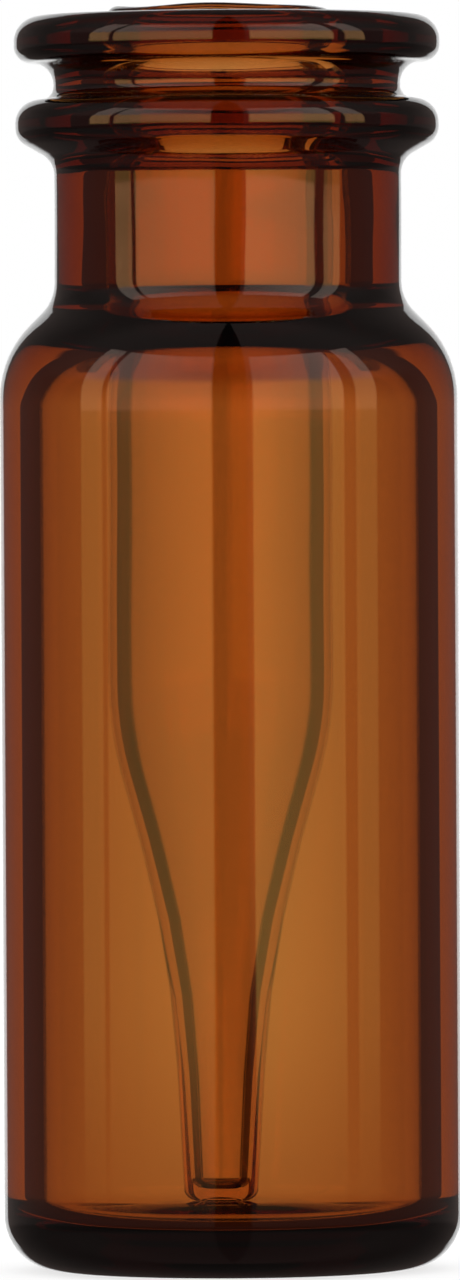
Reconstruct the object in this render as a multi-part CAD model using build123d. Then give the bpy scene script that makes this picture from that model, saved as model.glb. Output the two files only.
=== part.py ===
"""Amber glass sample vial with a clear glass micro insert standing in it.

Millimetres, +Z up, origin at the centre of the foot ring that the vial stands on.
Both pieces are bodies of revolution: each outline is a list of corners, and every
corner has its own rounding. The insert takes its width from the neck bore and its
length from the vial, and its tip stands on a flat seat in the middle of the floor.
"""

from build123d import *
from math import asin, atan2, degrees, dist, pi, radians, sin, tan
import os

# Vial: overall sizes
VIAL_HEIGHT = 31.8
BARREL_DIAMETER = 11.6
BARREL_WALL = 1.0
NECK_DIAMETER = 8.8
NECK_BORE = 6.2

# Vial: finish, measured down from the top face
FLANGE_DIAMETER = 10.8
FLANGE_THICKNESS = 1.18
GROOVE_WIDTH = 0.94
SNAP_RING_DIAMETER = 10.74
SNAP_RING_THICKNESS = 1.0
SNAP_RING_SLOPE = 30.0
NECK_LENGTH = 7.2
BORE_LENGTH = 8.1

# Vial: shoulder slopes, in degrees above the horizontal
SHOULDER_SLOPE = 45.0
INNER_SHOULDER_SLOPE = 25.0

# Vial: base
BASE_THICKNESS = 1.22
FLOOR_CROWN = 0.5
FOOT_RING_WIDTH = 0.75
PUSH_UP = 0.25
SEAT_MARGIN = 0.1

# Vial: roundings
BASE_ROUNDING = 1.4
SHOULDER_ROUNDING = 2.6
NECK_ROUNDING = 1.1
RING_ROOT_ROUNDING = 0.6
RING_LOWER_ROUNDING = 0.5
RING_UPPER_ROUNDING = 0.6
GROOVE_LOWER_ROUNDING = 0.34
GROOVE_UPPER_ROUNDING = 0.55
FLANGE_LOWER_ROUNDING = 0.42
FLANGE_UPPER_ROUNDING = 0.65
MOUTH_ROUNDING = 0.35
BORE_END_ROUNDING = 0.8
INNER_SHOULDER_ROUNDING = 1.6
FLOOR_ROUNDING = 0.7

# Insert: heights are measured up from its tip
INSERT_CLEARANCE = 0.25
INSERT_WALL = 0.53
INSERT_PROUD = 0.25
CONE_TOP_HEIGHT = 12.06
CONE_FOOT_HEIGHT = 6.31
CONE_FOOT_DIAMETER = 2.58
TIP_DIAMETER = 1.86
TIP_BORE = 1.0
TIP_THICKNESS = 0.36

# Insert: roundings
RIM_ROUNDING = 0.25
CONE_TOP_ROUNDING = 9.0
CONE_FOOT_ROUNDING = 27.0
TIP_ROUNDING = 0.35
TIP_BORE_ROUNDING = 0.3

# Insert: how far it stands from the vial's axis, along X, at its tip and at its rim
TIP_OFFSET = -0.30
RIM_OFFSET = -0.17

# The most of a straight run that the roundings at its two ends may take up together
RUN_SHARE = 0.99

BARREL_R = BARREL_DIAMETER / 2
INNER_R = BARREL_R - BARREL_WALL
NECK_R = NECK_DIAMETER / 2
BORE_R = NECK_BORE / 2
FLOOR_TOP = BASE_THICKNESS + FLOOR_CROWN
INSERT_R = BORE_R - INSERT_CLEARANCE
INSERT_LENGTH = VIAL_HEIGHT + INSERT_PROUD - FLOOR_TOP
INSERT_LEAN = degrees(asin((RIM_OFFSET - TIP_OFFSET) / INSERT_LENGTH))


def turn_at(before, corner, after):
    """The angle in radians that a path turns through at a corner."""
    way_in = atan2(corner[1] - before[1], corner[0] - before[0])
    way_out = atan2(after[1] - corner[1], after[0] - corner[0])
    turn = abs(way_out - way_in)
    return min(turn, 2 * pi - turn)


def rounded_path(start, corners, end):
    """A path of straight runs from start to end, rounded at each (radius, height, rounding) corner.

    A rounding is cut back where its two runs are too short for the arcs at both their ends.
    """
    points = [start] + [(r, z) for r, z, _ in corners] + [end]
    half_turns = [tan(turn_at(*points[i : i + 3]) / 2) for i in range(len(corners))]
    wanted = [0] + [corner[2] * half for corner, half in zip(corners, half_turns)] + [0]
    shares = [
        min(1, RUN_SHARE * dist(points[i], points[i + 1]) / (wanted[i] + wanted[i + 1]))
        for i in range(len(points) - 1)
    ]
    radii = [corner[2] * min(shares[i], shares[i + 1]) for i, corner in enumerate(corners)]
    return FilletPolyline(*points, radius=radii)


def level_curve(start, end):
    """A smooth S-curve that leaves start and reaches end level."""
    return Spline(start, end, tangents=((1, 0), (1, 0)))


def turned(outline):
    """The solid that a closed outline of (radius, height) edges sweeps about Z."""
    return revolve(make_face(Plane.XZ * outline), Axis.Z)


def make_vial_body():
    """The amber vial: foot, barrel, shoulder, neck, snap ring, groove, flange and one cavity."""
    flange_r = FLANGE_DIAMETER / 2
    ring_r = SNAP_RING_DIAMETER / 2
    groove_top = VIAL_HEIGHT - FLANGE_THICKNESS
    ring_top = groove_top - GROOVE_WIDTH
    ring_edge = ring_top - SNAP_RING_THICKNESS
    ring_root = ring_edge - (ring_r - NECK_R) * tan(radians(SNAP_RING_SLOPE))
    neck_foot = VIAL_HEIGHT - NECK_LENGTH
    shoulder_foot = neck_foot - (BARREL_R - NECK_R) * tan(radians(SHOULDER_SLOPE))
    bore_end = VIAL_HEIGHT - BORE_LENGTH
    inner_shoulder = bore_end - (INNER_R - BORE_R) * tan(radians(INNER_SHOULDER_SLOPE))
    push_up_r = BARREL_R - BASE_ROUNDING - FOOT_RING_WIDTH
    seat_r = TIP_DIAMETER / 2 + abs(TIP_OFFSET) + SEAT_MARGIN
    floor_edge = (INNER_R - FLOOR_ROUNDING / RUN_SHARE, BASE_THICKNESS)

    wall = rounded_path(
        (push_up_r, 0),
        [
            (BARREL_R, 0, BASE_ROUNDING),
            (BARREL_R, shoulder_foot, SHOULDER_ROUNDING),
            (NECK_R, neck_foot, NECK_ROUNDING),
            (NECK_R, ring_root, RING_ROOT_ROUNDING),
            (ring_r, ring_edge, RING_LOWER_ROUNDING),
            (ring_r, ring_top, RING_UPPER_ROUNDING),
            (NECK_R, ring_top, GROOVE_LOWER_ROUNDING),
            (NECK_R, groove_top, GROOVE_UPPER_ROUNDING),
            (flange_r, groove_top, FLANGE_LOWER_ROUNDING),
            (flange_r, VIAL_HEIGHT, FLANGE_UPPER_ROUNDING),
            (BORE_R, VIAL_HEIGHT, MOUTH_ROUNDING),
            (BORE_R, bore_end, BORE_END_ROUNDING),
            (INNER_R, inner_shoulder, INNER_SHOULDER_ROUNDING),
            (INNER_R, BASE_THICKNESS, FLOOR_ROUNDING),
        ],
        floor_edge,
    )
    underside = level_curve((0, PUSH_UP), (push_up_r, 0))
    floor = level_curve((seat_r, FLOOR_TOP), floor_edge)
    seat = Line((0, FLOOR_TOP), (seat_r, FLOOR_TOP))
    axis = Line((0, PUSH_UP), (0, FLOOR_TOP))
    return turned(underside + wall + floor + seat + axis)


def make_micro_insert():
    """The clear insert: a straight tube, a long cone and a fine foot with a closed flat tip."""
    bore_r = INSERT_R - INSERT_WALL
    cone_foot_r = CONE_FOOT_DIAMETER / 2
    tip_r = TIP_DIAMETER / 2
    glass = rounded_path(
        (0, 0),
        [
            (tip_r, 0, TIP_ROUNDING),
            (cone_foot_r, CONE_FOOT_HEIGHT, CONE_FOOT_ROUNDING),
            (INSERT_R, CONE_TOP_HEIGHT, CONE_TOP_ROUNDING),
            (INSERT_R, INSERT_LENGTH, RIM_ROUNDING),
            (bore_r, INSERT_LENGTH, RIM_ROUNDING),
            (bore_r, CONE_TOP_HEIGHT, CONE_TOP_ROUNDING - INSERT_WALL),
            (cone_foot_r - INSERT_WALL, CONE_FOOT_HEIGHT, CONE_FOOT_ROUNDING + INSERT_WALL),
            (TIP_BORE / 2, TIP_THICKNESS, TIP_BORE_ROUNDING),
        ],
        (0, TIP_THICKNESS),
    )
    upright = turned(glass + Line((0, 0), (0, TIP_THICKNESS)))
    # The leaning tube sinks by its tip's tilt and is ground flat on the seat.
    sink = TIP_DIAMETER / 2 * sin(radians(abs(INSERT_LEAN)))
    leaning = Pos(TIP_OFFSET, 0, FLOOR_TOP - sink) * Rot(0, INSERT_LEAN, 0) * upright
    return split(leaning, Plane.XY.offset(FLOOR_TOP), keep=Keep.TOP)


os.makedirs("parts", exist_ok=True)
export_step(make_vial_body(), "parts/vial_body.step")
export_step(make_micro_insert(), "parts/micro_insert.step")
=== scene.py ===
"""Looks of the glass sample vial: an amber vial with a clear micro insert, in a small studio.

Each piece is turned from its outline as one smooth closed shell, so that light bends through true
curves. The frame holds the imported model, and every place below is worked out from its boxes.
"""

from math import asin, inf, pi, radians, tan
from types import SimpleNamespace

import bpy
import numpy as np
from bpy.props import FloatProperty, FloatVectorProperty, IntProperty, PointerProperty
from bpy.types import Operator, Panel, PropertyGroup
from mathutils import Matrix, Vector


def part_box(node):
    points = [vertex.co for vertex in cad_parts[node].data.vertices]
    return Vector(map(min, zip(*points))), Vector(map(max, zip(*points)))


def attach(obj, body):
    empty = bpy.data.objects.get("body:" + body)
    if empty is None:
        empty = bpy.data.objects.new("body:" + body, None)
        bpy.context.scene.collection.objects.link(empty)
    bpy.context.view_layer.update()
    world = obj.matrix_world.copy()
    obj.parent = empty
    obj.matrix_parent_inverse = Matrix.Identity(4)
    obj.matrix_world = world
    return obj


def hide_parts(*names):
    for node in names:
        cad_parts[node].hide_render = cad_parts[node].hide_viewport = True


bl_info = {
    "name": "Glass Sample Vial",
    "version": (1, 0, 0),
    "blender": (4, 5, 0),
    "location": "View3D > Sidebar > Vial",
    "description": "Builds an amber sample vial with a clear micro insert, and its studio",
    "category": "Object",
}

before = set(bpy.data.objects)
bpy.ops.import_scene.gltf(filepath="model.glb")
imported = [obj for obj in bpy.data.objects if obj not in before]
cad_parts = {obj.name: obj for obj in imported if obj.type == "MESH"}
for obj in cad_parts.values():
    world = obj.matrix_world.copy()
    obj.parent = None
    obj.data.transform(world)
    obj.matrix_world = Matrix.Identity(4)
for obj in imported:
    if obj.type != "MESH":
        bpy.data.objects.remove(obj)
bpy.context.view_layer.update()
VIAL_LOW, VIAL_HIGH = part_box("vial_body")
INSERT_LOW, INSERT_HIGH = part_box("micro_insert")

MM = 0.001
WHITE = (1, 1, 1, 1)

# How finely the outlines are cut
ARC_STEP = radians(4.5)
LONGEST_STEP = 0.4 * MM
CURVE_POINTS = 14

# The most of a straight run that the roundings at its two ends may take up together
RUN_SHARE = 0.99
# Points nearer than this count as one
SMALLEST_WAY = 1e-9

# Roundings of the vial's corners, from its foot up to its mouth and down the cavity
BASE_ROUNDING = 1.4 * MM
SHOULDER_ROUNDING = 2.6 * MM
NECK_ROUNDING = 1.1 * MM
RING_ROOT_ROUNDING = 0.6 * MM
RING_LOWER_ROUNDING = 0.5 * MM
RING_UPPER_ROUNDING = 0.6 * MM
GROOVE_LOWER_ROUNDING = 0.34 * MM
GROOVE_UPPER_ROUNDING = 0.55 * MM
FLANGE_LOWER_ROUNDING = 0.42 * MM
FLANGE_UPPER_ROUNDING = 0.65 * MM
MOUTH_ROUNDING = 0.35 * MM
BORE_END_ROUNDING = 0.8 * MM
INNER_SHOULDER_ROUNDING = 1.6 * MM
FLOOR_ROUNDING = 0.7 * MM

# Roundings of the insert's corners
RIM_ROUNDING = 0.25 * MM
CONE_TOP_ROUNDING = 9 * MM
CONE_FOOT_ROUNDING = 27 * MM
TIP_ROUNDING = 0.35 * MM
TIP_BORE_ROUNDING = 0.3 * MM

# Unevenness of the glass, in rows of depth, lobes round the axis, pitch along it and phase.
# The plunger that shapes the bore leaves it more uneven than the mould leaves the outside.
NECK_WAVES = [
    (0.005 * MM, 3, 9 * MM, 0.4),
    (0.0025 * MM, 5, -5.1 * MM, 2.0),
    (0.0015 * MM, 9, 3.7 * MM, 4.1),
]
BORE_WAVES = [
    (0.012 * MM, 4, -4.2 * MM, 1.3),
    (0.008 * MM, 7, 1.9 * MM, 0.2),
    (0.005 * MM, 13, -1.1 * MM, 3.0),
    (0.003 * MM, 21, 0.8 * MM, 5.1),
]
TUBE_WAVES = [(0.004 * MM, 2, 14 * MM, 0.9), (0.003 * MM, 5, 5 * MM, 2.6)]

# The bore's waves lie between these depths below the mouth, out to this margin beyond its wall
BORE_WAVES_HIGH = 1 * MM
BORE_WAVES_LOW = 4.4 * MM
BORE_MARGIN = 0.1 * MM

# How far the waves take to fade out beyond their ends
VIAL_WAVES_FADE = 0.8 * MM
TUBE_WAVES_FADE = 2 * MM

# Dip of the insert's rim, as shares of the rim wave: its mean, and rows as above with no pitch
RIM_DIP = 0.5
RIM_WAVES = [(0.3, 3, inf, 1.1), (0.2, 5, inf, -0.6)]
RIM_BAND = 0.3 * MM
RIM_FADE = 0.5 * MM

# Skins of the two glasses
AMBER_SKIN = {"Wave size": 420.0, "Wave depth": 2.5e-6, "Haze": 0.01}
CLEAR_SKIN = {"Wave size": 500.0, "Wave depth": 2e-6, "Haze": 0.01}
DRAW_STRETCH = (1, 1, 0.15)
WAVE_DETAIL = 1.5
SMEAR_SIZE = 260.0
SMEAR_DETAIL = 4.0
SMEAR_LOW = 0.52
SMEAR_HIGH = 0.78

# Floor and camera
FLOOR_REACH = 1.5
FLOOR_DROP = 0.02 * MM
FLOOR_GREY = (0.34, 0.34, 0.34, 1)
FLOOR_GLOW = 0.76
CLIP_NEAR = 0.01
CLIP_FAR = 10
BOUNCES = 40

# Widths of the panels' soft edges
SIDE_EDGE = radians(1.5)
BOX_HEIGHT_EDGE = radians(1.2)
GOLD_EDGE = radians(8)
EMBER_EDGE = radians(0.8)
BACKDROP_EDGE = radians(1)
RIM_LIGHT_EDGE = radians(2)
BACK_HEIGHT_EDGE = radians(5)
FLAG_EDGE = radians(1)
FLAG_FOOT_EDGE = radians(4)
WELL_EDGE = radians(8)
TENT_EDGE = radians(8)

# Light from below the horizon: where it sets in, its share of the camera's gap, and its dimming
BELOW_TOP = radians(-4)
BELOW_FOOT = radians(-10)
BELOW_SHARE = 0.6
BELOW_LEVEL = 0.5


def size(name, millimetres, description):
    """A length property, with its default in millimetres."""
    return FloatProperty(
        name=name,
        description=description,
        default=millimetres * MM,
        unit="LENGTH",
        subtype="DISTANCE",
        precision=5,
    )


def angle(name, degrees, description):
    """An angle property, with its default in degrees."""
    return FloatProperty(
        name=name,
        description=description,
        default=radians(degrees),
        unit="ROTATION",
        subtype="ANGLE",
    )


def level(name, default, description):
    """A plain number property, such as a brightness or a share."""
    return FloatProperty(name=name, description=description, default=default, precision=3)


def colour(name, default, description):
    """A linear colour property."""
    return FloatVectorProperty(
        name=name,
        description=description,
        default=default,
        subtype="COLOR",
        size=3,
        min=0,
        max=1,
    )


class VialSizes(PropertyGroup):
    """Sizes of the amber vial, beyond the height and the barrel that the frame gives."""

    wall: size("Barrel wall", 1.0, "Thickness of the glass in the barrel")
    neck: size("Neck", 8.8, "Outside diameter of the neck")
    bore: size("Neck bore", 6.2, "Inside diameter of the neck")
    neck_length: size("Neck length", 7.2, "From the top face to the foot of the neck")
    bore_length: size("Bore length", 8.1, "From the top face to the end of the bore")
    flange: size("Flange", 10.8, "Diameter of the flange at the mouth")
    flange_thickness: size("Flange thickness", 1.18, "Height of the flange's edge")
    groove: size("Groove", 0.94, "Width of the groove under the flange")
    ring: size("Snap ring", 10.74, "Diameter of the snap ring under the groove")
    ring_thickness: size("Ring thickness", 1.0, "Height of the snap ring's edge")
    ring_slope: angle("Ring slope", 30, "Slope of the snap ring's underside")
    shoulder_slope: angle("Shoulder slope", 45, "Slope of the shoulder outside")
    inner_slope: angle("Inner slope", 25, "Slope of the shoulder inside")
    base: size("Base", 1.22, "Thickness of the base at the edge of the floor")
    crown: size("Floor crown", 0.5, "Rise of the floor from its edge to its middle")
    push_up: size("Push-up", 0.25, "Height of the hollow under the base")
    foot_ring: size("Foot ring", 0.75, "Width of the flat ring that the vial stands on")
    seat: size("Seat", 1.33, "Radius of the flat seat in the middle of the floor")
    segments: IntProperty(name="Segments", description="Faces round the vial", default=224)


class InsertSizes(PropertyGroup):
    """Sizes of the clear insert, beyond the width and the length that the frame gives."""

    wall: size("Wall", 0.53, "Thickness of the insert's glass")
    clearance: size("Clearance", 0.25, "Air between the insert and the neck bore")
    cone_top: size("Cone top", 12.06, "Height of the cone's top above the tip")
    cone_foot: size("Cone foot", 6.31, "Height of the cone's foot above the tip")
    cone_foot_width: size("Cone foot width", 2.58, "Outside diameter at the cone's foot")
    tip: size("Tip", 1.86, "Diameter of the flat tip")
    tip_bore: size("Tip bore", 1.0, "Diameter of the bore just above the tip")
    tip_thickness: size("Tip thickness", 0.36, "Thickness of the closed tip")
    tip_offset: size("Tip offset", -0.30, "Place of the tip along X, from the vial's axis")
    rim_offset: size("Rim offset", -0.17, "Place of the rim along X, from the vial's axis")
    rim_wave: size("Rim wave", 0.09, "How unevenly the fire-polished rim rises and falls")
    seat_gap: size("Seat gap", 0.012, "Film of air that keeps the tip and the floor apart")
    segments: IntProperty(name="Segments", description="Faces round the insert", default=192)


class GlassLooks(PropertyGroup):
    """Colours of the two glasses. Each colour of light fades at (1 - colour) x depth per metre."""

    index: level("Index", 1.5, "Index of refraction of both glasses")
    amber: colour("Amber", (0.765, 0.48, 0.05), "Colour that the amber glass lets through")
    amber_depth: level("Amber depth", 2300, "How strongly the amber glass takes light, per metre")
    clear: colour("Clear", (0.85, 0.5, 0.15), "Warm tint of the light that the clear glass lets through")
    clear_depth: level("Clear depth", 550, "How strongly the clear glass takes light, per metre")


class StudioLooks(PropertyGroup):
    """The camera and the lighting. Azimuths are measured from the camera's side of the vial."""

    distance: size("Distance", 350, "From the vial's axis to the lens")
    eye: size("Eye height", 19.9, "Height of the lens above the floor")
    aim: size("Aim height", 15.96, "Height of the point that the camera looks at")
    roll: angle("Roll", -0.32, "Tilt of the camera about its line of sight")
    lens: level("Lens", 388, "Focal length in millimetres, on a sensor 36 mm long")
    box_near: angle("Left softbox start", 8.4, "Azimuth at which the left softbox begins")
    box_near_right: angle("Right softbox start", 12, "Azimuth at which the right softbox begins")
    box_far_left: angle("Left softbox end", 64, "Azimuth at which the left softbox ends")
    box_far_right: angle("Right softbox end", 60, "Azimuth at which the right softbox ends")
    box_low: angle("Softbox foot", -2.6, "Elevation of the softboxes' lower edge")
    box_high: angle("Softbox top", 44, "Elevation of the softboxes' upper edge")
    box_near_level: level("Softbox near level", 0.55, "Brightness of a softbox at its start")
    box_far_level: level("Softbox far level", 1.2, "Brightness of a softbox at its end")
    box_right_share: level("Right share", 1.3, "How much brighter the right softbox is")
    gold_height: angle("Gold height", 16, "Elevation within which the softboxes are golden")
    warm: colour("Warm white", (1.0, 0.82, 0.7), "Colour of the softboxes above the golden part")
    gold: colour("Gold", (1.0, 0.68, 0.15), "Colour of the softboxes near the horizon")
    ember: colour("Ember", (1.0, 0.55, 0.22), "Colour of the part just above the golden part")
    ember_level: level("Ember level", 2.3, "Brightness of the part just above the golden part")
    ember_low: angle("Ember foot", 0.5, "Elevation at which gold turns to ember")
    gold_near_level: level("Gold near level", 1.6, "Brightness of the golden part at its start")
    gold_far_level: level("Gold far level", 0.95, "Brightness of the golden part at its end")
    room: colour("Room", (1.0, 0.79, 0.73), "Colour of the dim room between the panels")
    strip_near: angle("Strip start", 67, "Azimuth at which the side strips begin")
    strip_far: angle("Strip end", 80, "Azimuth at which the side strips end")
    strip_level: level("Strip level", 1.0, "Brightness of the side strips")
    fill_level: level("Fill level", 0.22, "Brightness of the dim room between the panels")
    fill_level_band: level("Low fill level", 0.11, "The same, near the horizon")
    fill_far_level: level("Far fill level", 0.09, "Brightness of the room beside the backdrop")
    gap_level: level("Gap level", 0.03, "Brightness of the dark gap round the camera")
    flag_near: angle("Flag start", 128, "Azimuth at which the black flags by the backdrop begin")
    flag_far: angle("Flag end", 145, "Azimuth at which the flags end, as seen through glass")
    flag_low: angle("Flag foot", -14, "Elevation of the flags' lower edge")
    back_near: angle("Backdrop start", 150.5, "Azimuth at which the bright backdrop begins")
    rim_near: angle("Rim light start", 160, "The same, for light mirrored by the outside alone")
    back_low: angle("Backdrop foot", -14, "Elevation of the backdrop's lower edge, in mirrored light")
    back_high: angle("Backdrop top", 30, "Elevation of the backdrop's upper edge, in mirrored light")
    well_low: angle("Well foot", -62, "Elevation of the lower edge of the dark below the backdrop")
    well_high: angle("Well top", -25, "Elevation of the upper edge of the dark below the backdrop")
    tent_high: angle("Tent top", 62, "Elevation of the upper edge of what is seen through glass")


# Outlines


def rounded_path(start, corners, end):
    """Straight runs from start to end, rounded by an arc at each (radius, height, rounding) corner.

    A rounding of radius R at a turn of angle T reaches R tan(T / 2) along both its runs. It is cut
    back where its runs are too short for that. The arc's points turn about its centre, which lies
    R to the inner side of the path.
    """
    corners = np.array(corners)
    points = np.vstack([start, corners[:, :2], end])
    runs = np.diff(points, axis=0)
    lengths = np.hypot(*runs.T)
    ways = runs / lengths[:, None]
    turns = np.arctan2(
        ways[:-1, 0] * ways[1:, 1] - ways[:-1, 1] * ways[1:, 0],
        (ways[:-1] * ways[1:]).sum(axis=1),
    )
    half_tans = np.tan(abs(turns) / 2)
    reaches = np.concatenate([[0], corners[:, 2] * half_tans, [0]])
    shares = np.minimum(1, RUN_SHARE * lengths / (reaches[:-1] + reaches[1:] + SMALLEST_WAY))
    radii = corners[:, 2] * np.minimum(shares[:-1], shares[1:])
    pieces = [points[:1]]
    for corner, way, turn, radius, half in zip(corners[:, :2], ways, turns, radii, half_tans):
        first = corner - way * radius * half
        inward = np.sign(turn) * np.array([-way[1], way[0]])
        centre = first + inward * radius
        steps = np.linspace(0, turn, 2 + int(abs(turn) / ARC_STEP))
        spoke = first - centre
        pieces.append(
            centre
            + np.cos(steps)[:, None] * spoke
            + np.sin(steps)[:, None] * np.array([-spoke[1], spoke[0]])
        )
    return np.vstack([*pieces, points[-1:]])


def level_curve(start, end):
    """A smooth S between two points that is level at both: the height follows 3t^2 - 2t^3."""
    t = np.linspace(0, 1, CURVE_POINTS)
    blend = t * t * (3 - 2 * t)
    return np.column_stack(
        [start[0] + (end[0] - start[0]) * t, start[1] + (end[1] - start[1]) * blend]
    )


def evened(path):
    """The path with repeated points dropped and its long runs cut into steps of LONGEST_STEP."""
    ways = np.hypot(*np.diff(path, axis=0).T)
    path = path[np.concatenate([[True], ways > SMALLEST_WAY])]
    ways = np.hypot(*np.diff(path, axis=0).T)
    along = np.concatenate([[0], np.cumsum(ways)])
    cuts = np.ceil(ways / LONGEST_STEP).astype(int)
    first = np.repeat(np.cumsum(cuts) - cuts, cuts)
    share = (np.arange(cuts.sum()) - first) / np.repeat(cuts, cuts)
    places = np.append(np.repeat(along[:-1], cuts) + share * np.repeat(ways, cuts), along[-1])
    return np.column_stack([np.interp(places, along, path[:, i]) for i in (0, 1)])


# Meshes


def lathe(outline, segments):
    """Points and faces of the closed shell that an outline sweeps about Z.

    Ring k and spoke j meet at (r cos a, r sin a, z), with a = 2 pi j / segments. The outline starts
    and ends on the axis, so its two ends are single points, closed by fans.
    """
    rings = outline[1:-1]
    turn = 2 * pi * np.arange(segments) / segments
    ring_points = np.stack(
        [
            rings[:, :1] * np.cos(turn),
            rings[:, :1] * np.sin(turn),
            np.repeat(rings[:, 1:], segments, axis=1),
        ],
        axis=-1,
    ).reshape(-1, 3)
    poles = [[0, 0, outline[0, 1]], [0, 0, outline[-1, 1]]]
    points = np.vstack([ring_points, poles])
    spoke = np.arange(segments)
    after = (spoke + 1) % segments
    base = segments * np.arange(len(rings) - 1)[:, None]
    quads = np.stack(
        [base + spoke, base + after, base + segments + after, base + segments + spoke], axis=-1
    ).reshape(-1, 4)
    last = segments * (len(rings) - 1)
    first_pole = np.full(segments, len(ring_points))
    fans = np.vstack(
        [
            np.column_stack([first_pole, after, spoke]),
            np.column_stack([first_pole + 1, last + spoke, last + after]),
        ]
    )
    return points, quads, fans


def shell(name, points, quads, fans):
    """A smooth mesh object at the origin, from arrays of points, four-sided and three-sided faces."""
    mesh = bpy.data.meshes.new(name)
    corners = np.concatenate([quads.ravel(), fans.ravel()]).astype(np.int32)
    starts = np.concatenate(
        [4 * np.arange(len(quads)), 4 * len(quads) + 3 * np.arange(len(fans))]
    ).astype(np.int32)
    mesh.vertices.add(len(points))
    mesh.vertices.foreach_set("co", points.astype(np.float32).ravel())
    mesh.loops.add(len(corners))
    mesh.loops.foreach_set("vertex_index", corners)
    mesh.polygons.add(len(starts))
    mesh.polygons.foreach_set("loop_start", starts)
    mesh.polygons.foreach_set("use_smooth", np.ones(len(starts), dtype=bool))
    mesh.update(calc_edges=True)
    mesh.validate()
    piece = bpy.data.objects.new(name, mesh)
    bpy.context.scene.collection.objects.link(piece)
    return piece


def swell(value, low, high, soft):
    """1 between low and high, falling to 0 over soft beyond each, as 3t^2 - 2t^3."""
    rise = np.clip((value - low) / soft + 1, 0, 1)
    fall = np.clip((high - value) / soft + 1, 0, 1)
    both = np.minimum(rise, fall)
    return both * both * (3 - 2 * both)


def waves(turn, height, rows):
    """A sum of slow waves over the glass, each a (depth, lobes, pitch, phase) row.

    A row adds depth * cos(lobes * turn + 2 pi height / pitch + phase).
    """
    depth, lobes, pitch, phase = np.array(rows).T[:, :, None]
    return (depth * np.cos(lobes * turn + 2 * pi * height / pitch + phase)).sum(axis=0)


def rippled(points, rows, low, high, soft):
    """The points moved in or out from the axis by waves, between two heights."""
    radius = np.hypot(points[:, 0], points[:, 1])
    turn = np.arctan2(points[:, 1], points[:, 0])
    move = waves(turn, points[:, 2], rows) * swell(points[:, 2], low, high, soft)
    grown = 1 + move / np.maximum(radius, MM)
    return points * np.column_stack([grown, grown, np.ones_like(grown)])


# Materials


def node(tree, kind, inputs=None, **settings):
    """A new node. inputs maps a socket's name or number to a value or to another node's output."""
    made = tree.nodes.new(kind)
    for key, value in settings.items():
        setattr(made, key, value)
    for key, value in (inputs or {}).items():
        if isinstance(value, bpy.types.NodeSocket):
            tree.links.new(value, made.inputs[key])
        else:
            made.inputs[key].default_value = value
    return made


def maths(tree, operation, *values):
    """The output of a Math node on the values."""
    return node(tree, "ShaderNodeMath", dict(enumerate(values)), operation=operation).outputs[0]


def times(tree, *values):
    """The product of two or more values."""
    product = values[0]
    for value in values[1:]:
        product = maths(tree, "MULTIPLY", product, value)
    return product


def vector_maths(tree, operation, inputs):
    """The output of a Vector Math node on the inputs."""
    return node(tree, "ShaderNodeVectorMath", inputs, operation=operation).outputs[0]


def scaled(tree, colour, brightness):
    """A colour times a brightness."""
    return vector_maths(tree, "SCALE", {0: colour, "Scale": brightness})


def mixed(tree, share, first, second):
    """A number that is first where share is 0 and second where it is 1."""
    inputs = {0: share, 2: first, 3: second}
    return node(tree, "ShaderNodeMix", inputs, data_type="FLOAT").outputs[0]


def blended(tree, share, first, second):
    """A colour that is first where share is 0 and second where it is 1."""
    inputs = {0: share, 6: first, 7: second}
    return node(tree, "ShaderNodeMix", inputs, data_type="RGBA").outputs[2]


def eased(tree, value, low, high, least=0.0, most=1.0):
    """The value's smooth passage from least at low to most at high."""
    made = node(
        tree,
        "ShaderNodeMapRange",
        {0: value, 1: low, 2: high, 3: least, 4: most},
        interpolation_type="SMOOTHSTEP",
    )
    return made.outputs[0]


def step(tree, value, place, width):
    """0 while the value is under a place and 1 over it, with a soft edge of the given width."""
    return eased(tree, value, place - width / 2, place + width / 2)


def window(tree, value, low, high, width):
    """1 while the value is between low and high, with soft edges of the given width."""
    return maths(tree, "SUBTRACT", step(tree, value, low, width), step(tree, value, high, width))


def noise(tree, place, scale, detail):
    """The value of a Noise Texture node at a place."""
    inputs = {"Vector": place, "Scale": scale, "Detail": detail}
    return node(tree, "ShaderNodeTexNoise", inputs).outputs[0]


def drawn_glass_group():
    """A group for the skin of drawn glass: slow waves along the draw and a faint haze of handling.

    It reads Object coordinates and puts out a roughness and a normal.
    """
    group = bpy.data.node_groups.new("Drawn glass skin", "ShaderNodeTree")
    for name in AMBER_SKIN:
        group.interface.new_socket(name=name, in_out="INPUT", socket_type="NodeSocketFloat")
    for name, kind in (("Roughness", "NodeSocketFloat"), ("Normal", "NodeSocketVector")):
        group.interface.new_socket(name=name, in_out="OUTPUT", socket_type=kind)
    inputs = node(group, "NodeGroupInput").outputs
    place = node(group, "ShaderNodeTexCoord").outputs["Object"]
    stretched = vector_maths(group, "MULTIPLY", {0: place, 1: DRAW_STRETCH})
    slow = noise(group, stretched, inputs["Wave size"], WAVE_DETAIL)
    relief = times(group, slow, inputs["Wave depth"])
    bump = node(group, "ShaderNodeBump", {"Height": relief, "Strength": 1.0, "Distance": 1.0})
    smear = noise(group, place, SMEAR_SIZE, SMEAR_DETAIL)
    haze = times(group, eased(group, smear, SMEAR_LOW, SMEAR_HIGH), inputs["Haze"])
    outputs = node(group, "NodeGroupOutput")
    group.links.new(haze, outputs.inputs["Roughness"])
    group.links.new(bump.outputs["Normal"], outputs.inputs["Normal"])
    return group


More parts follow.
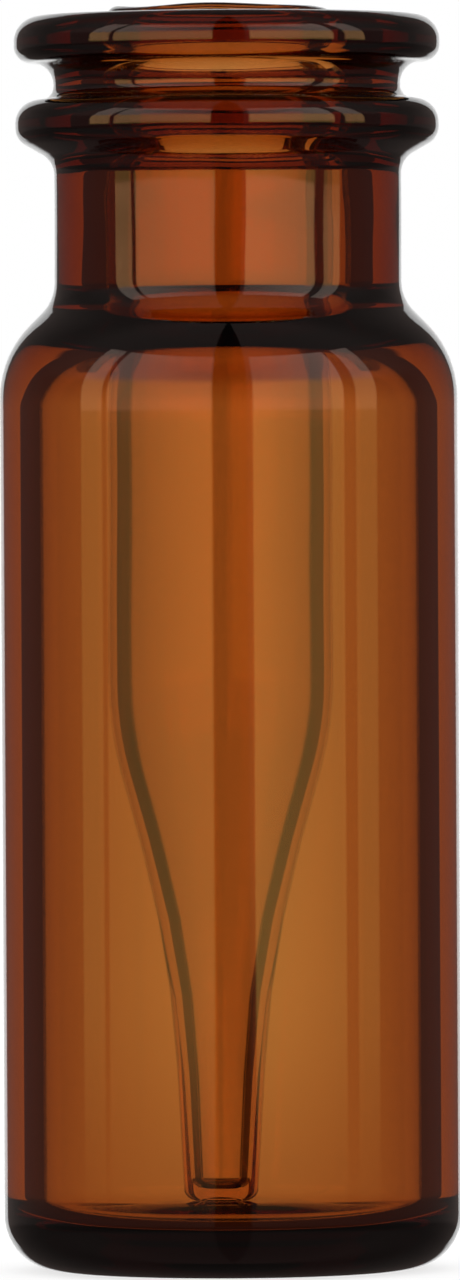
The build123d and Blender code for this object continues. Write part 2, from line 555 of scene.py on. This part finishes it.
def glass_material(name, index, tint, depth, skin):
    """Glass that takes light by the distance that it goes through it, with a drawn skin."""
    material = bpy.data.materials.new(name)
    material.use_nodes = True
    tree = material.node_tree
    tree.nodes.clear()
    group = bpy.data.node_groups.get("Drawn glass skin") or drawn_glass_group()
    drawn = node(tree, "ShaderNodeGroup", node_tree=group)
    for key, value in skin.items():
        drawn.inputs[key].default_value = value
    glass = node(
        tree,
        "ShaderNodeBsdfPrincipled",
        {
            "Base Color": WHITE,
            "Metallic": 0.0,
            "IOR": index,
            "Transmission Weight": 1.0,
            "Roughness": drawn.outputs["Roughness"],
            "Normal": drawn.outputs["Normal"],
        },
    )
    inside = node(tree, "ShaderNodeVolumeAbsorption", {"Color": (*tint, 1), "Density": depth})
    sockets = {"Surface": glass.outputs[0], "Volume": inside.outputs[0]}
    node(tree, "ShaderNodeOutputMaterial", sockets)
    return material


# Operators


class VIAL_OT_body(Operator):
    """Turn the amber vial from its outline"""

    bl_idname = "vial.body"
    bl_label = "Amber vial"

    def outline(self, s):
        """The vial's closed outline, from the axis under the base round to the axis on the floor."""
        top = VIAL_HIGH.z
        barrel = (VIAL_HIGH.x - VIAL_LOW.x) / 2
        inner = barrel - s.wall
        neck, bore, flange, ring = s.neck / 2, s.bore / 2, s.flange / 2, s.ring / 2
        groove_top = top - s.flange_thickness
        ring_top = groove_top - s.groove
        ring_edge = ring_top - s.ring_thickness
        ring_root = ring_edge - (ring - neck) * tan(s.ring_slope)
        neck_foot = top - s.neck_length
        shoulder = neck_foot - (barrel - neck) * tan(s.shoulder_slope)
        bore_end = top - s.bore_length
        inner_shoulder = bore_end - (inner - bore) * tan(s.inner_slope)
        push_up = barrel - BASE_ROUNDING - s.foot_ring
        floor_edge = (inner - FLOOR_ROUNDING / RUN_SHARE, s.base)
        floor_top = s.base + s.crown
        wall = rounded_path(
            (push_up, 0),
            [
                (barrel, 0, BASE_ROUNDING),
                (barrel, shoulder, SHOULDER_ROUNDING),
                (neck, neck_foot, NECK_ROUNDING),
                (neck, ring_root, RING_ROOT_ROUNDING),
                (ring, ring_edge, RING_LOWER_ROUNDING),
                (ring, ring_top, RING_UPPER_ROUNDING),
                (neck, ring_top, GROOVE_LOWER_ROUNDING),
                (neck, groove_top, GROOVE_UPPER_ROUNDING),
                (flange, groove_top, FLANGE_LOWER_ROUNDING),
                (flange, top, FLANGE_UPPER_ROUNDING),
                (bore, top, MOUTH_ROUNDING),
                (bore, bore_end, BORE_END_ROUNDING),
                (inner, inner_shoulder, INNER_SHOULDER_ROUNDING),
                (inner, s.base, FLOOR_ROUNDING),
            ],
            floor_edge,
        )
        return evened(
            np.vstack(
                [
                    level_curve((0, s.push_up), (push_up, 0)),
                    wall,
                    level_curve((s.seat, floor_top), floor_edge)[::-1],
                    [(0, floor_top)],
                ]
            )
        )

    def execute(self, context):
        s = context.scene.vial_sizes
        looks = context.scene.glass_looks
        points, quads, fans = lathe(self.outline(s), s.segments)
        top = VIAL_HIGH.z
        points = rippled(points, NECK_WAVES, top - s.neck_length, top, VIAL_WAVES_FADE)
        in_bore = np.hypot(points[:, 0], points[:, 1]) < s.bore / 2 + BORE_MARGIN
        ends = (top - BORE_WAVES_LOW, top - BORE_WAVES_HIGH)
        points[in_bore] = rippled(points[in_bore], BORE_WAVES, *ends, VIAL_WAVES_FADE)
        piece = shell("amber_vial", points, quads, fans)
        piece.data.materials.append(
            glass_material("Amber glass", looks.index, looks.amber, looks.amber_depth, AMBER_SKIN)
        )
        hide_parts("vial_body")
        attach(piece, "root")
        return {"FINISHED"}


class VIAL_OT_insert(Operator):
    """Turn the clear micro insert from its outline and stand it on the seat"""

    bl_idname = "vial.insert"
    bl_label = "Micro insert"

    def outline(self, s, outer, length):
        """The insert's closed outline, from the middle of the tip round to the bottom of the bore."""
        bore, foot = outer - s.wall, s.cone_foot_width / 2
        return evened(
            rounded_path(
                (0, 0),
                [
                    (s.tip / 2, 0, TIP_ROUNDING),
                    (foot, s.cone_foot, CONE_FOOT_ROUNDING),
                    (outer, s.cone_top, CONE_TOP_ROUNDING),
                    (outer, length, RIM_ROUNDING),
                    (bore, length, RIM_ROUNDING),
                    (bore, s.cone_top, CONE_TOP_ROUNDING - s.wall),
                    (foot - s.wall, s.cone_foot, CONE_FOOT_ROUNDING + s.wall),
                    (s.tip_bore / 2, s.tip_thickness, TIP_BORE_ROUNDING),
                ],
                (0, s.tip_thickness),
            )
        )

    def execute(self, context):
        s = context.scene.insert_sizes
        vial = context.scene.vial_sizes
        looks = context.scene.glass_looks
        outer = vial.bore / 2 - s.clearance
        seat = INSERT_LOW.z
        length = INSERT_HIGH.z - seat
        points, quads, fans = lathe(self.outline(s, outer, length), s.segments)
        points = rippled(points, TUBE_WAVES, s.cone_top, length, TUBE_WAVES_FADE)
        turn = np.arctan2(points[:, 1], points[:, 0])
        near_rim = swell(points[:, 2], length - RIM_BAND, length, RIM_FADE)
        dip = RIM_DIP + waves(turn, points[:, 2], RIM_WAVES)
        points[:, 2] -= s.rim_wave * dip * near_rim
        lean = asin((s.rim_offset - s.tip_offset) / length)
        tilt = np.array(Matrix.Rotation(lean, 3, "Y"))
        points = points @ tilt.T + [s.tip_offset, 0, seat]
        points[:, 2] = np.maximum(points[:, 2], seat + s.seat_gap)
        piece = shell("clear_insert", points, quads, fans)
        piece.data.materials.append(
            glass_material("Clear glass", looks.index, looks.clear, looks.clear_depth, CLEAR_SKIN)
        )
        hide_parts("micro_insert")
        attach(piece, "root")
        return {"FINISHED"}


class VIAL_OT_studio(Operator):
    """Set up the floor, the camera and the panels of light round the vial"""

    bl_idname = "vial.studio"
    bl_label = "Studio"

    def floor(self):
        """A wide pale floor just under the foot ring. Glass sees the panels in its place."""
        square = np.array([[-1, -1, 0], [1, -1, 0], [1, 1, 0], [-1, 1, 0]])
        corners = square * FLOOR_REACH + [0, 0, VIAL_LOW.z - FLOOR_DROP]
        piece = shell("floor", corners, np.array([[0, 1, 2, 3]]), np.zeros((0, 3), dtype=int))
        material = bpy.data.materials.new("Pale floor")
        material.use_nodes = True
        tree = material.node_tree
        tree.nodes.clear()
        lit = node(tree, "ShaderNodeBsdfDiffuse", {"Color": FLOOR_GREY})
        glow = node(tree, "ShaderNodeEmission", {"Strength": FLOOR_GLOW})
        both = node(tree, "ShaderNodeAddShader", {0: lit.outputs[0], 1: glow.outputs[0]})
        node(tree, "ShaderNodeOutputMaterial", {"Surface": both.outputs[0]})
        piece.data.materials.append(material)
        piece.visible_glossy = False
        piece.visible_transmission = False

    def camera(self, s):
        """A long lens a little above the middle of the vial, looking along +Y."""
        data = bpy.data.cameras.new("Camera")
        data.lens = s.lens
        data.clip_start = CLIP_NEAR
        data.clip_end = CLIP_FAR
        camera = bpy.data.objects.new("Camera", data)
        bpy.context.scene.collection.objects.link(camera)
        eye, aim = Vector((0, -s.distance, s.eye)), Vector((0, 0, s.aim))
        turn = (aim - eye).to_track_quat("-Z", "Y").to_matrix().to_4x4()
        camera.matrix_world = Matrix.Translation(eye) @ turn @ Matrix.Rotation(s.roll, 4, "Z")
        bpy.context.scene.camera = camera

    def directions(self, s, tree):
        """Where a ray of world light comes from, and two bands that several panels share.

        The azimuth is the angle from -Y towards +X, apart is its size, and rise is the elevation.
        """
        way = node(tree, "ShaderNodeTexCoord").outputs["Generated"]
        axes = node(tree, "ShaderNodeSeparateXYZ", {0: way}).outputs
        azimuth = maths(tree, "ARCTAN2", axes[0], times(tree, axes[1], -1.0))
        apart = maths(tree, "ABSOLUTE", azimuth)
        rise = maths(tree, "ARCSINE", axes[2])
        return SimpleNamespace(
            azimuth=azimuth,
            apart=apart,
            rise=rise,
            near_horizon=window(tree, rise, -s.gold_height, s.gold_height, GOLD_EDGE),
            behind=window(tree, apart, s.back_near, 2 * pi, BACKDROP_EDGE),
        )

    def softboxes(self, s, tree, sky):
        """The softboxes and strips in front: gold at the horizon, then ember, then warm white.

        The gold and the ember stand in for light that turns amber on its way between many walls.
        """
        right = maths(tree, "GREATER_THAN", sky.azimuth, 0.0)
        left = maths(tree, "SUBTRACT", 1.0, right)
        left_box = window(tree, sky.apart, s.box_near, s.box_far_left, SIDE_EDGE)
        right_box = window(tree, sky.apart, s.box_near_right, s.box_far_right, SIDE_EDGE)
        boxes = maths(tree, "ADD", times(tree, right_box, right), times(tree, left_box, left))
        balance = eased(tree, sky.azimuth, -s.box_near, s.box_near, 1.0, s.box_right_share)
        strips = window(tree, sky.apart, s.strip_near, s.strip_far, SIDE_EDGE)
        fronts = maths(
            tree, "ADD", times(tree, boxes, balance), times(tree, strips, s.strip_level)
        )
        height = window(tree, sky.rise, s.box_low, s.box_high, BOX_HEIGHT_EDGE)
        span = (s.box_near, s.box_far_left)
        glow = eased(tree, sky.apart, *span, s.box_near_level, s.box_far_level)
        gold_glow = eased(tree, sky.apart, *span, s.gold_near_level, s.gold_far_level)
        above_gold = step(tree, sky.rise, s.ember_low, EMBER_EDGE)
        ember = (*[s.ember_level * part for part in s.ember], 1)
        gold = blended(tree, above_gold, scaled(tree, tuple(s.gold), gold_glow), ember)
        tint = blended(tree, sky.near_horizon, scaled(tree, tuple(s.warm), glow), gold)
        return scaled(tree, tint, times(tree, fronts, height))

    def room(self, s, tree, sky, path):
        """The dim room and the backdrop in it, which the outside of the glass mirrors narrower."""
        rim_light = window(tree, sky.apart, s.rim_near, 2 * pi, RIM_LIGHT_EDGE)
        outside = maths(tree, "LESS_THAN", path["Transmission Depth"], 1.0)
        backdrop = times(
            tree,
            mixed(tree, outside, sky.behind, rim_light),
            window(tree, sky.rise, s.back_low, s.back_high, BACK_HEIGHT_EDGE),
        )
        far = eased(tree, sky.apart, s.strip_far, s.flag_near, s.fill_level, s.fill_far_level)
        beside = eased(tree, sky.apart, s.box_near, s.box_near + SIDE_EDGE)
        below = eased(tree, sky.rise, BELOW_TOP, BELOW_FOOT)
        around = maths(tree, "MAXIMUM", beside, times(tree, below, BELOW_SHARE))
        dimming = eased(tree, below, 0.0, 1.0, 1.0, BELOW_LEVEL)
        fill = times(tree, around, mixed(tree, sky.near_horizon, far, s.fill_level_band), dimming)
        dim = scaled(tree, tuple(s.room), maths(tree, "ADD", fill, s.gap_level))
        return blended(tree, backdrop, dim, WHITE)

    def tent(self, s, tree, sky):
        """What shows through the glass: white, but for the flags, the well and the dark on top."""
        flags = times(
            tree,
            window(tree, sky.apart, s.flag_near, s.flag_far, FLAG_EDGE),
            step(tree, sky.rise, s.flag_low, FLAG_FOOT_EDGE),
        )
        well = times(tree, sky.behind, window(tree, sky.rise, s.well_low, s.well_high, WELL_EDGE))
        clear = maths(tree, "SUBTRACT", 1.0, maths(tree, "MAXIMUM", flags, well))
        return times(tree, clear, window(tree, sky.rise, -pi, s.tent_high, TENT_EDGE))

    def panels(self, s):
        """World light: what glass mirrors, what shows through it, and white for all else."""
        world = bpy.data.worlds.new("Studio")
        world.use_nodes = True
        bpy.context.scene.world = world
        tree = world.node_tree
        tree.nodes.clear()
        sky = self.directions(s, tree)
        path = node(tree, "ShaderNodeLightPath").outputs
        front = self.softboxes(s, tree, sky)
        around = self.room(s, tree, sky, path)
        mirrored = vector_maths(tree, "ADD", {0: front, 1: around})
        reflected = maths(tree, "GREATER_THAN", path["Glossy Depth"], 0.0)
        seen = blended(tree, reflected, self.tent(s, tree, sky), mirrored)
        plain = maths(tree, "MAXIMUM", path["Is Camera Ray"], path["Is Diffuse Ray"])
        brightness = blended(tree, plain, seen, WHITE)
        light = node(tree, "ShaderNodeBackground", {"Color": brightness, "Strength": 1.0})
        node(tree, "ShaderNodeOutputWorld", {"Surface": light.outputs[0]})

    def execute(self, context):
        s = context.scene.studio_looks
        self.floor()
        self.camera(s)
        self.panels(s)
        scene = context.scene
        scene.view_settings.view_transform = "Standard"
        scene.cycles.max_bounces = BOUNCES
        scene.cycles.transmission_bounces = BOUNCES
        scene.cycles.glossy_bounces = BOUNCES
        return {"FINISHED"}


class VIAL_PT_panel(Panel):
    """Lists the operators and their sizes in the sidebar"""

    bl_label = "Glass sample vial"
    bl_idname = "VIAL_PT_panel"
    bl_space_type = "VIEW_3D"
    bl_region_type = "UI"
    bl_category = "Vial"

    def draw(self, context):
        for operator in (VIAL_OT_body, VIAL_OT_insert, VIAL_OT_studio):
            self.layout.operator(operator.bl_idname)
        for name in GROUPS:
            group = getattr(context.scene, name)
            box = self.layout.box()
            for key in group.bl_rna.properties.keys():
                if key not in {"rna_type", "name"}:
                    box.prop(group, key)


GROUPS = {
    "vial_sizes": VialSizes,
    "insert_sizes": InsertSizes,
    "glass_looks": GlassLooks,
    "studio_looks": StudioLooks,
}
CLASSES = (*GROUPS.values(), VIAL_OT_body, VIAL_OT_insert, VIAL_OT_studio, VIAL_PT_panel)


def register():
    for made in CLASSES:
        bpy.utils.register_class(made)
    for name, group in GROUPS.items():
        setattr(bpy.types.Scene, name, PointerProperty(type=group))


def unregister():
    for name in GROUPS:
        delattr(bpy.types.Scene, name)
    for made in reversed(CLASSES):
        bpy.utils.unregister_class(made)


def main():
    register()
    bpy.ops.vial.studio()
    bpy.ops.vial.body()
    bpy.ops.vial.insert()


if __name__ == "__main__":
    main()
